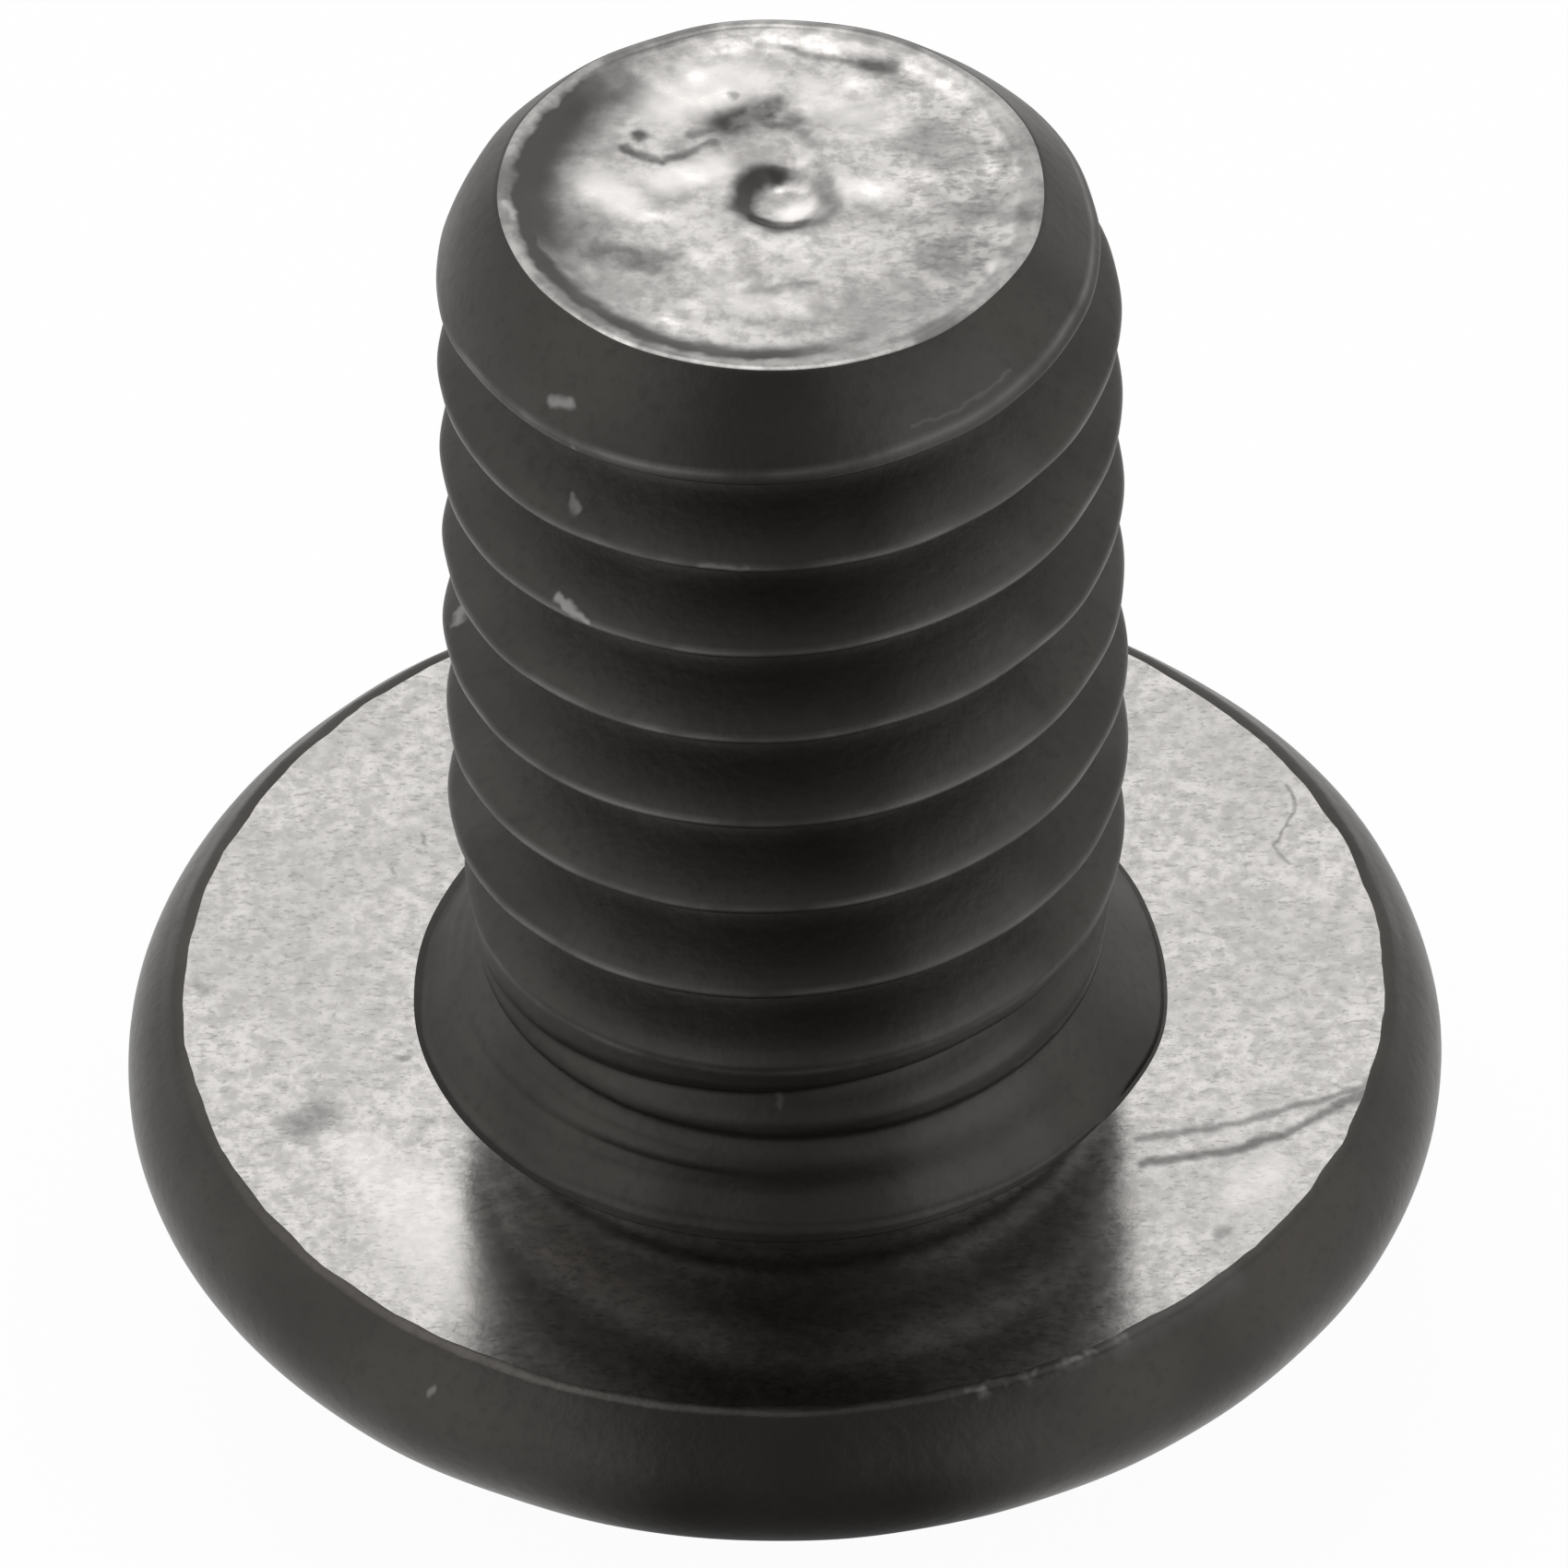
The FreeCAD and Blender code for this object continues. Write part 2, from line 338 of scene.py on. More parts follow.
def add_socket_rows(rows, turns, mouth_radius):
    """From the land over the chamfered mouth down the six walls to the conical floor."""
    rows.add(mouth_radius + 0.004, 0, 0)
    wall = hexagon_radius(2 * math.pi * turns - math.pi / 2)
    chamfer = (mouth_radius - wall) / math.tan(math.radians(MOUTH_CHAMFER_ANGLE / 2))
    for share in (0.06, 0.5, 0.9):
        rows.add(mouth_radius + (wall - mouth_radius) * share, chamfer * share, 0)
    for share in (0.01, 0.04, 0.3, 0.6, 0.9, 0.985):
        rows.add(wall, chamfer + (SOCKET_DEPTH - chamfer) * share, 0)
    rows.add(wall - 0.004, SOCKET_DEPTH - 0.004, 0)
    rows.add(wall - 0.012, SOCKET_DEPTH, 0)
    for share in (0.0, 0.02, 0.2, 0.4, 0.6, 0.8, 0.94):
        rows.add(np.minimum(FLOOR_RADIUS * (1 - share), wall - 0.02),
                 SOCKET_DEPTH + FLOOR_RISE * share, 0)


def head_rows(turns):
    """From the neck over the bearing face, the rim and the dome into the socket."""
    rows = Rows()
    mouth_radius = SOCKET_ACROSS_FLATS / math.sqrt(3) + MOUTH_CHAMFER_WIDTH
    add_neck_rows(rows)
    add_bearing_rows(rows)
    add_dome_rows(rows, mouth_radius + LAND_WIDTH)
    add_socket_rows(rows, turns, mouth_radius)
    return rows


def thread_key_height(key, turn):
    """Height of a key at a turn from the front. Key 0 is the first crest, and keys count down."""
    pitches, step = divmod(key, len(KEYS_IN_PITCH))
    crest = FIRST_GROOVE_Z + 1.5 * THREAD_PITCH
    return crest + THREAD_PITCH * (turn - pitches - KEYS_IN_PITCH[step])


def crest_share(keys):
    """How far each key lies on the lighter line of a crest, partly wear and partly a painted
    highlight.
    """
    steps = np.array(keys) % len(KEYS_IN_PITCH)
    along = np.array(KEYS_IN_PITCH)[steps]
    return np.clip(1 - np.minimum(along, 1 - along) / CREST_LINE_SHARE, 0, 1)


def thread_keys(turn):
    """The keys whose lines pass the thread's zone at one turn from the front."""
    count = int((THREAD_ZONE_TOP - THREAD_ZONE_BOTTOM) / THREAD_PITCH + 4) * len(KEYS_IN_PITCH)
    return [k for k in range(count)
            if THREAD_ZONE_BOTTOM + KEY_CLEARANCE < thread_key_height(k, turn)
            < THREAD_ZONE_TOP - KEY_CLEARANCE]


def toward(points, direction):
    """How far each point lies in a direction from the axis: 1 in it, -1 opposite, 0 at its side."""
    radius = np.hypot(points[:, 0], points[:, 1])
    return (points[:, 0] * direction[0] + points[:, 1] * direction[1]) / np.maximum(radius, TINY)


def bend_neck(points, share):
    """Flattens the neck at the front, turns fine lines in its left side and moves the shank."""
    x, y, z = points.T
    height, radius = z - HEAD_HEIGHT, np.hypot(x, y)
    front = np.maximum(toward(points, (0, -1)), 0)
    flat = NECK_FLAT * front ** 2 * (1 - smooth_step(height, *NECK_FLAT_ZONE)) * share
    ripple = NECK_RIPPLE * unevenness(points * [1, 1, 0.2], 0.55, 11) * share
    ripple *= 1 - smooth_step(height, *NECK_RIPPLE_ZONE)
    left = smooth_step(toward(points, (-1, 0)), 0.0, 0.6)
    collar = smooth_step(height, *TURNED_LINES_START) * (1 - smooth_step(height, *TURNED_LINES_END))
    lines = TURNED_LINE_DEPTH * np.sin(2 * math.pi * height / TURNED_LINE_PITCH) * collar * left
    scale = 1 - (flat + ripple + lines) / np.maximum(radius, 0.2)
    return x * scale + SHANK_OFFSET * share, y * scale


def tilt_end(points, x, y):
    """Lowers the end face at the back, moves and swells it, and sinks its lip on one side."""
    z, radius = points[:, 2], np.hypot(points[:, 0], points[:, 1])
    upper = smooth_step(z, POINT_END_Z, POINT_START_Z)
    z = z - upper * END_TILT * (y + END_RADIUS) / (2 * END_RADIUS)
    swell = smooth_step(toward(points, SWELL_AT), *SWELL_SPREAD)
    scale = 1 + END_SWELL * swell * upper / END_RADIUS
    x, y = (x + END_SHIFT * upper) * scale, y * scale
    sunk = LIP_LOW_SIDE * (1 - smooth_step(toward(points, LIP_HIGH_AT), -0.3, 0.7)) * upper
    lip_start = END_RADIUS - LIP_WIDTH
    z = z - sunk * DISH_DEPTH * smooth_step(radius, lip_start - 0.20, lip_start)
    return x, y, z


def end_face_dents(points):
    """Heights on the end face: a dimple with a raised ring round it, and soft dents."""
    from_dimple = np.hypot(points[:, 0] - DIMPLE_PLACE[0], points[:, 1] - DIMPLE_PLACE[1])
    dimple = DIMPLE_DEPTH * (1 - smooth_step(from_dimple, 0.35 * DIMPLE_RADIUS, DIMPLE_RADIUS))
    ring = DIMPLE_RING_HEIGHT * np.exp(-((from_dimple - DIMPLE_RADIUS * 1.12) / 0.05) ** 2)
    dents = DENT_DEPTH * unevenness(points, 0.30, 21)
    return ring - dimple + dents + FINE_DENT_DEPTH * unevenness(points, 0.12, 22)


def outward_waves(points, face):
    """The rolled crests, the bearing face's edge and the rim are not quite even."""
    height = points[:, 2] - HEAD_HEIGHT
    radius = np.hypot(points[:, 0], points[:, 1])
    thread = smooth_step(height, 0.4, 0.6) * (1 - face)
    wave = CREST_WAVE * unevenness(points, 0.5, 31) * thread
    edge = np.exp(-((radius - BEARING_RADIUS) / EDGE_WAVE_WIDTH) ** 2) * (np.abs(height) < 0.05)
    wave += EDGE_WAVE * edge * (unevenness(points, 0.30, 51) + 0.6 * unevenness(points, 0.10, 52))
    rim = (height < -0.0005) & (radius > 1.6)
    return wave - RIM_WAVE * (1 + unevenness(points, 0.6, 41)) * rim


def bend_and_wear(points, bright):
    """The small faults of this screw: shank off centre, end face out of square, dents and waves."""
    height = points[:, 2] - HEAD_HEIGHT
    radius = np.hypot(points[:, 0], points[:, 1])

    # The bearing face follows the moved shank less and less towards its edge.
    near_base = (height > -0.002) & (height < 0.0005) & (radius < BEARING_RADIUS - 0.05)
    spread = np.clip((BEARING_RADIUS - radius) / (BEARING_RADIUS - NECK_BASE_RADIUS), 0, 1)
    share = np.where(near_base, spread, smooth_step(height, 0.0005, 0.002))
    x, y = bend_neck(points, share)
    x, y, z = tilt_end(points, x, y)

    face = smooth_step(bright, 0.5, 1) * (height > 1) * (1 - smooth_step(radius, 1.0, 1.1))
    z = z + face * end_face_dents(points)
    z -= BEARING_FALL * (1 - spread) * (height < 0.0005) * smooth_step(height, -0.45, -0.15)
    scale = 1 + outward_waves(points, face) / np.maximum(np.hypot(x, y), TINY)
    return np.column_stack([x * scale, y * scale, z])


def add_points(table, radius, turn, z, bright, crest):
    """Adds points to a table and gives their numbers."""
    start = len(table)
    table.extend(zip(*np.broadcast_arrays(radius, turn, z, bright, crest)))
    return list(range(start, len(table)))


def thread_columns(table, turns):
    """The thread's points, column by column, each found by its key."""
    columns = []
    for turn in turns:
        keys = thread_keys(turn)
        heights = np.array([thread_key_height(key, turn) for key in keys])
        radius = shank_radius(np.full(len(keys), turn), heights)
        numbers = add_points(table, radius, turn, heights, 0, crest_share(keys))
        columns.append(dict(zip(keys, numbers)))
    return columns


def ring_faces(rings):
    """Faces between each ring and the next."""
    faces = []
    for upper, lower in zip(rings[:-1], rings[1:]):
        for j in range(COLUMNS):
            n = (j + 1) % COLUMNS
            faces.append((upper[j], lower[j], lower[n], upper[n]))
    return faces


def thread_faces(columns, above, below):
    """Faces between the thread's columns, joined to the ring above and the ring below."""
    faces = []
    for j in range(COLUMNS):
        n = (j + 1) % COLUMNS
        # A full turn further, a line has climbed a pitch, so the first column's keys are shifted.
        shift = len(KEYS_IN_PITCH) if n == 0 else 0
        here = columns[j]
        there = {key + shift: number for key, number in columns[n].items()}
        first, last = max(min(here), min(there)), min(max(here), max(there))
        left = [above[j]] + [here[k] for k in range(min(here), first + 1)]
        right = [above[n]] + [there[k] for k in range(min(there), first + 1)]
        faces.extend(fill_strip(left, right))
        for k in range(first, last):
            faces.append((here[k], here[k + 1], there[k + 1], there[k]))
        left = [here[k] for k in range(last, max(here) + 1)] + [below[j]]
        right = [there[k] for k in range(last, max(there) + 1)] + [below[n]]
        faces.extend(fill_strip(left, right))
    return faces


def build_screw():
    """One closed surface: the end face's rings, the thread's columns and the head's rings."""
    turns = np.arange(COLUMNS) / COLUMNS
    table = []
    top_rings = [add_points(table, radius, turns, z, bright, 0)
                 for radius, z, bright in end_face_rows()]
    columns = thread_columns(table, turns)
    bottom_rings = [add_points(table, radius, turns, z, bright, 0)
                    for radius, z, bright in head_rows(turns)]
    faces = ring_faces(top_rings) + ring_faces(bottom_rings)
    faces += thread_faces(columns, top_rings[-1], bottom_rings[0])

    # The end face and the socket's floor close round a point on the axis.
    radius, turn, z, bright, crest = np.array(table).T
    angle = 2 * math.pi * turn
    points = np.column_stack([radius * np.sin(angle), -radius * np.cos(angle), z])
    tip_centre, floor_centre = len(points), len(points) + 1
    points = np.vstack([points, [0, 0, TIP_Z - DISH_DEPTH], [0, 0, SOCKET_DEPTH + FLOOR_RISE]])
    bright = np.append(bright, [1, 0])
    crest = np.append(crest, [0, 0])
    for j in range(COLUMNS):
        n = (j + 1) % COLUMNS
        faces.append((tip_centre, top_rings[0][j], top_rings[0][n]))
        faces.append((bottom_rings[-1][j], floor_centre, bottom_rings[-1][n]))

    points = bend_and_wear(points, bright)
    mesh = bpy.data.meshes.new("finished_screw")
    mesh.from_pydata((points * MM).tolist(), [], faces)
    mesh.validate()
    mesh.update()
    mesh.polygons.foreach_set("use_smooth", [True] * len(mesh.polygons))

    # Material 0 is the black oxide, 1 the bearing face's steel and 2 the end face's.
    on_flat = [min(bright[list(p.vertices)]) > 0.5 for p in mesh.polygons]
    upper = [p.center.z > FACES_APART * MM for p in mesh.polygons]
    mesh.polygons.foreach_set("material_index", [f * (1 + u) for f, u in zip(on_flat, upper)])
    attribute = mesh.attributes.new("crest", "FLOAT", "POINT")
    attribute.data.foreach_set("value", crest.astype(np.float32))
    screw = bpy.data.objects.new("finished_screw", mesh)
    bpy.context.scene.collection.objects.link(screw)
    return screw


def fill_strip(left, right):
    """Faces between two lines of points that start and end level, also if one has more points."""
    faces = []
    i, j = 0, 0
    while i < len(left) - 1 or j < len(right) - 1:
        if i < len(left) - 1 and len(left) - i == len(right) - j:
            faces.append((left[i], left[i + 1], right[j + 1], right[j]))
            i, j = i + 1, j + 1
        elif len(left) - i > len(right) - j:
            faces.append((left[i], left[i + 1], right[j]))
            i += 1
        else:
            faces.append((left[i], right[j + 1], right[j]))
            j += 1
    return faces


# Materials
class Graph:
    """Short calls for nodes. A value may be a number, a colour or another node's output."""

    def __init__(self, owner):
        """Owner is a new material or world, whose nodes are made afresh."""
        owner.use_nodes = True
        self.owner, self.tree = owner, owner.node_tree
        self.tree.nodes.clear()

    def node(self, kind, inputs=None, **settings):
        made = self.tree.nodes.new(kind)
        for name, value in settings.items():
            setattr(made, name, value)
        for name, value in (inputs or {}).items():
            self.put(made.inputs[name], value)
        return made

    def put(self, socket, value):
        if isinstance(value, bpy.types.NodeSocket):
            self.tree.links.new(value, socket)
        else:
            socket.default_value = value

    def math(self, operation, a, b=0.0, clamp=False):
        made = self.node("ShaderNodeMath", {0: a, 1: b}, operation=operation, use_clamp=clamp)
        return made.outputs[0]

    def vector(self, operation, a, b=None, scale=None):
        inputs = {0: a}
        if b is not None:
            inputs[1] = b
        made = self.node("ShaderNodeVectorMath", inputs, operation=operation)
        if scale is not None:
            self.put(made.inputs["Scale"], scale)
        return made.outputs["Value" if operation in ("DOT_PRODUCT", "LENGTH") else "Vector"]

    def noise(self, vector, scale, detail=2.0, roughness=0.5):
        made = self.node("ShaderNodeTexNoise", {"Vector": vector, "Scale": scale, "Detail": detail,
                                                "Roughness": roughness})
        return made.outputs["Fac"]

    def span(self, value, low, high, to_low=0.0, to_high=1.0):
        """Value from low to high becomes to_low to to_high, smoothly and no further."""
        made = self.node("ShaderNodeMapRange", {"Value": value, "From Min": low, "From Max": high,
                                                "To Min": to_low, "To Max": to_high},
                         interpolation_type="SMOOTHSTEP")
        return made.outputs["Result"]

    def mixed(self, kind, first_input, output, factor, a, b):
        """A Mix node keeps each kind of value on sockets of its own."""
        made = self.node("ShaderNodeMix", {0: factor}, data_type=kind)
        self.put(made.inputs[first_input], a)
        self.put(made.inputs[first_input + 1], b)
        return made.outputs[output]

    def blend(self, factor, a, b):
        """Between two numbers."""
        return self.mixed("FLOAT", 2, 0, factor, a, b)

    def mix(self, factor, a, b):
        """Between two colours."""
        return self.mixed("RGBA", 6, 2, factor, a, b)

    def stroke(self, place, start, end, half_width):
        """1 along the line from start to end, a half at its half width and 0 well beyond."""
        start, run = Vector(start), Vector(end) - Vector(start)
        from_start = self.vector("SUBTRACT", place, tuple(start))
        along = self.vector("DOT_PRODUCT", from_start, tuple(run / run.length_squared))
        along = self.math("MULTIPLY", along, 1.0, clamp=True)
        nearest = self.vector("SCALE", tuple(run), scale=along)
        off = self.vector("LENGTH", self.vector("SUBTRACT", from_start, nearest))
        return self.span(off, half_width * 0.2, half_width * 1.8, 1, 0)


def grey(value, red=1.03, blue=0.97):
    """A grey, a little warm."""
    return (value * red, value, value * blue, 1)


def warm_black(value):
    """A very dark grey, warmer."""
    return grey(value, 1.07, 0.93)


# Marks, and the painted highlights named glints, seen from above, in mm across and back from the
# axis: start, end, half width, strength.
END_FACE_STAINS = (
    ((-0.55, 0.445), (-0.54, 0.44), 0.034, 0.90),
    ((-0.59, 0.35), (-0.47, 0.26), 0.026, 0.85),
    ((-0.47, 0.26), (-0.36, 0.30), 0.024, 0.75),
    ((-0.36, 0.30), (-0.23, 0.38), 0.022, 0.65),
    ((-0.32, 0.46), (-0.17, 0.47), 0.026, 0.70),
    ((-0.16, 0.51), (-0.02, 0.57), 0.090, 1.00),
    ((-0.03, 0.55), (0.10, 0.50), 0.065, 0.80),
    ((0.10, 0.50), (0.20, 0.38), 0.040, 0.50),
    ((-0.14, 0.70), (-0.13, 0.69), 0.024, 0.55),
    ((-0.01, 1.04), (0.21, 0.955), 0.024, 0.65),
    ((0.21, 0.955), (0.40, 0.89), 0.022, 0.55),
    ((0.43, 0.885), (0.55, 0.87), 0.042, 0.85),
    ((-0.78, -0.18), (-0.72, -0.30), 0.120, 0.50),
    ((-0.72, -0.30), (-0.42, -0.42), 0.080, 0.70),
    ((0.72, -0.38), (0.95, -0.42), 0.110, 0.35),
    ((0.90, -0.10), (1.00, 0.00), 0.080, 0.30),
    ((-0.10, -0.60), (0.20, -0.56), 0.030, 0.45),
    ((-0.30, -0.75), (0.20, -0.85), 0.050, 0.20),
    ((0.95, 0.45), (1.02, 0.20), 0.040, 0.40),
)
# Painted highlights on the end face, and one bright nick at its right edge.
END_FACE_GLINTS = (
    ((-0.42, 0.66), (-0.10, 0.80), 0.140, 0.65),
    ((0.22, 0.66), (0.50, 0.52), 0.120, 0.40),
    ((-0.76, 0.14), (-0.60, 0.00), 0.100, 0.60),
    ((-0.44, 0.14), (-0.22, 0.20), 0.075, 0.75),
    ((0.11, -0.04), (0.18, -0.04), 0.062, 1.00),
    ((0.96, -0.50), (1.00, -0.48), 0.030, 1.00),
    ((0.36, 0.06), (0.50, 0.02), 0.070, 0.55),
    ((-0.20, -0.62), (0.10, -0.70), 0.080, 0.30),
    ((-1.12, -0.03), (-1.10, -0.12), 0.016, 0.80),
)
BEARING_STAINS = (
    ((2.60, -0.60), (2.39, -0.72), 0.026, 0.62),
    ((2.39, -0.72), (2.15, -0.80), 0.022, 0.55),
    ((2.15, -0.80), (1.95, -0.89), 0.022, 0.55),
    ((1.95, -0.89), (1.52, -0.98), 0.024, 0.58),
    ((2.60, -0.62), (2.42, -0.76), 0.028, 0.66),
    ((2.42, -0.76), (2.14, -0.96), 0.026, 0.68),
    ((2.14, -0.96), (1.95, -1.04), 0.030, 0.74),
    ((1.95, -1.04), (1.53, -1.13), 0.028, 0.72),
    ((2.21, 1.25), (2.23, 1.07), 0.010, 0.45),
    ((2.23, 1.07), (2.15, 0.87), 0.009, 0.45),
    ((2.15, 0.87), (2.21, 0.75), 0.008, 0.35),
    ((-2.10, -0.76), (-2.02, -0.72), 0.090, 0.50),
    ((-2.53, 0.12), (-2.50, 0.10), 0.040, 0.35),
    ((-1.64, -0.38), (-1.63, -0.37), 0.018, 0.55),
    ((1.86, -1.56), (1.87, -1.55), 0.030, 0.45),
    ((-1.56, 1.04), (-1.54, 0.98), 0.008, 0.35),
    ((-1.70, 0.84), (-1.68, 0.80), 0.008, 0.35),
)
# Painted highlights on the bearing face.
BEARING_GLINTS = (
    ((-1.36, -1.78), (-1.62, -1.24), 0.200, 0.50),
    ((-1.66, -1.20), (-1.85, -0.95), 0.120, 0.40),
    ((2.10, -1.15), (1.95, -1.35), 0.090, 0.35),
)
# Marks on the thread: degrees from the front and height above the bearing face, for both ends.
THREAD_NICKS = (
    ((-44.8, 4.42), (-40.6, 4.45), 0.020, 0.36),
    ((-41.6, 3.90), (-38.6, 3.87), 0.010, 0.26),
    ((-42.5, 3.345), (-35.5, 3.315), 0.014, 0.45),
    ((-93.0, 2.34), (-86.0, 2.31), 0.016, 0.35),
    ((-38.0, 4.27), (-37.5, 4.26), 0.014, 0.18),
    ((-14.0, 3.84), (-6.0, 3.85), 0.012, 0.16),
    ((-3.2, 0.61), (-2.8, 0.56), 0.014, 0.10),
    ((24.0, 4.455), (47.0, 4.475), 0.008, 0.08),
)
# Painted sparkles along the rounded edge of the bearing face at the front right.
RIM_PAINTED_SPARKLES = (
    ((0.72, -2.53), (0.90, -2.47), 0.030, 0.30),
    ((1.02, -2.42), (1.42, -2.21), 0.036, 0.24),
)
RIM_SPOT = ((-1.56, -2.30), (-1.54, -2.30), 0.010, 0.22)
# Painted sheens: a soft highlight on the neck at the front right, which lightens the crests above
# it too, and a light line along the rim's edge at the front right.
COLLAR_SHEEN = ((0.66, -1.30), (1.00, -1.06), 0.150, 0.30)
RIM_SHEEN = ((1.40, -2.23), (1.90, -1.83), 0.050, 0.35)

# Greys of the marks and of the painted highlights and sheens, and places of the end face's painted
# shades as directions from its centre.
BRIGHT_SPECK, SHEEN = 0.50, 0.12
GLINT = 0.90
BEARING_STAIN, END_STAIN = 0.08, 0.06
HOLLOW_AT = (-0.966, 0.26, 0)
LIP_GROOVE_AT = (-0.72, -0.69, 0)
CRESCENT_AT = (-0.93, -0.30, 0)

# Height of the fine relief of each finish, in metres.
OXIDE_RELIEF, BEARING_RELIEF, END_RELIEF = 0.0000022, 0.0000003, 0.0000014


def face_marks(g, place, marks):
    """The strongest of some marks at a place, 0 to 1."""
    total = None
    for start, end, half_width, strength in marks:
        mask = g.math("MULTIPLY", g.stroke(place, (*start, 0), (*end, 0), half_width), strength)
        total = mask if total is None else g.math("MAXIMUM", total, mask)
    return total


def uneven(g, place, scale, size):
    """A small push in any direction, different from place to place."""
    noise = g.node("ShaderNodeTexNoise", {"Vector": place, "Scale": scale, "Detail": 2.0})
    warp = noise.outputs["Color"]
    return g.vector("SCALE", g.vector("SUBTRACT", warp, (0.5, 0.5, 0.5)), scale=size)


def nick_marks(g, mm):
    """The bright nicks of the thread, on a map of it: round it and up, in mm."""
    x = g.math("ADD", g.vector("DOT_PRODUCT", mm, (1, 0, 0)), -SHANK_OFFSET)
    turn = g.math("ARCTAN2", x, g.vector("DOT_PRODUCT", mm, (0, -1, 0)))
    across = g.math("MULTIPLY", turn, THREAD_RADIUS)
    up = g.vector("DOT_PRODUCT", mm, (0, 0, 1))
    place = g.node("ShaderNodeCombineXYZ", {"X": across, "Y": up}).outputs[0]
    place = g.vector("MULTIPLY", g.vector("ADD", place, uneven(g, mm, 14.0, 0.05)), (1, 1, 0))
    marks = []
    for start, end, half_width, strength in THREAD_NICKS:
        ends = [(math.radians(a) * THREAD_RADIUS, h + HEAD_HEIGHT) for a, h in (start, end)]
        marks.append((*ends, half_width, strength))
    return face_marks(g, place, marks)


def places(g):
    """Places on the screw in mm."""
    return g.vector("SCALE", g.node("ShaderNodeTexCoord").outputs["Object"], scale=1 / MM)


def steel_places(g):
    """Places on the screw in mm, and the same seen from above, a little uneven for its marks."""
    mm = places(g)
    flat = g.vector("MULTIPLY", g.vector("ADD", mm, uneven(g, mm, 7.0, 0.09)), (1, 1, 0))
    return mm, flat


def steel(g, colour, roughness, relief, depth):
    """Bare metal of one colour and roughness, with a fine relief of that depth in metres."""
    bump = g.node("ShaderNodeBump", {"Height": relief, "Strength": 1.0, "Distance": depth})
    shader = g.node("ShaderNodeBsdfPrincipled", {"Base Color": colour, "Metallic": 1.0,
                                                 "Roughness": roughness,
                                                 "Normal": bump.outputs["Normal"]})
    g.node("ShaderNodeOutputMaterial", {"Surface": shader.outputs[0]})
    return g.owner


def black_oxide():
    """Nearly black satin steel, lighter along the crests of the thread with wear and a painted
    highlight, with painted sparkles and sheens at the rim and neck.
    """
    g = Graph(bpy.data.materials.new("black_oxide"))
    mm = places(g)
    crest = g.node("ShaderNodeAttribute", attribute_name="crest").outputs["Fac"]
    soft = g.noise(mm, 1.6, 1.0)
    grain = g.noise(mm, 16.0, 2.0, 0.6)
    colour = g.mix(g.span(soft, 0.3, 0.7), warm_black(0.050), warm_black(0.063))
    colour = g.mix(g.math("MULTIPLY", g.span(grain, 0.5, 0.7), 0.3), colour, warm_black(0.042))
    # The crests' lighter line: partly wear, partly a painted highlight.
    crest_wear_and_highlight = g.span(g.noise(mm, 3.5, 2.0, 0.5), 0.34, 0.64, 0.35, 1.0)
    colour = g.mix(g.math("MULTIPLY", crest, crest_wear_and_highlight), colour, grey(0.15))
    colour = g.mix(nick_marks(g, mm), colour, grey(BRIGHT_SPECK))

    # The rim's bright spot, its painted sparkles and the painted sheens on the rim and neck stop
    # above the dome.
    up = g.vector("DOT_PRODUCT", mm, (0, 0, 1))
    above_dome = g.span(up, HEAD_HEIGHT - 0.42, HEAD_HEIGHT - 0.32)
    speckle = g.math("MULTIPLY", g.span(g.noise(mm, 15.0, 1.0), 0.40, 0.72), above_dome)
    flat = g.vector("MULTIPLY", mm, (1, 1, 0))
    painted_sparkles = g.math("MULTIPLY", face_marks(g, flat, RIM_PAINTED_SPARKLES), speckle)
    colour = g.mix(painted_sparkles, colour, grey(BRIGHT_SPECK))
    for mark, shade in ((RIM_SPOT, BRIGHT_SPECK), (COLLAR_SHEEN, SHEEN), (RIM_SHEEN, SHEEN)):
        share = g.math("MULTIPLY", face_marks(g, flat, (mark,)), above_dome)
        colour = g.mix(share, colour, grey(shade))
    roughness = g.math("ADD", g.span(up, HEAD_HEIGHT - 0.01, HEAD_HEIGHT + 0.01, 0.32, 0.42),
                       g.math("MULTIPLY", grain, 0.08))
    return steel(g, colour, roughness, grain, OXIDE_RELIEF)


def bearing_steel():
    """Even bright steel with a fine grain, a double scratch at the right, small stains and painted
    highlights.
    """
    g = Graph(bpy.data.materials.new("bearing_steel"))
    mm, flat = steel_places(g)
    soft = g.noise(mm, 1.7, 2.0)
    grain = g.noise(mm, 15.0, 3.0, 0.65)
    streaks = g.noise(g.vector("MULTIPLY", mm, (1, 2.2, 1)), 24.0, 2.0, 0.6)
    colour = g.mix(g.span(grain, 0.32, 0.66), grey(0.68), grey(0.47))
    colour = g.mix(g.math("MULTIPLY", g.span(soft, 0.42, 0.62), 0.40), colour, grey(0.42))
    colour = g.mix(g.math("MULTIPLY", g.span(streaks, 0.56, 0.66), 0.45), colour, grey(0.24))
    # Painted highlights.
    colour = g.mix(face_marks(g, flat, BEARING_GLINTS), colour, grey(GLINT))
    colour = g.mix(face_marks(g, flat, BEARING_STAINS), colour, grey(BEARING_STAIN))
    return steel(g, colour, g.span(soft, 0.3, 0.7, 0.13, 0.16), grain, BEARING_RELIEF)


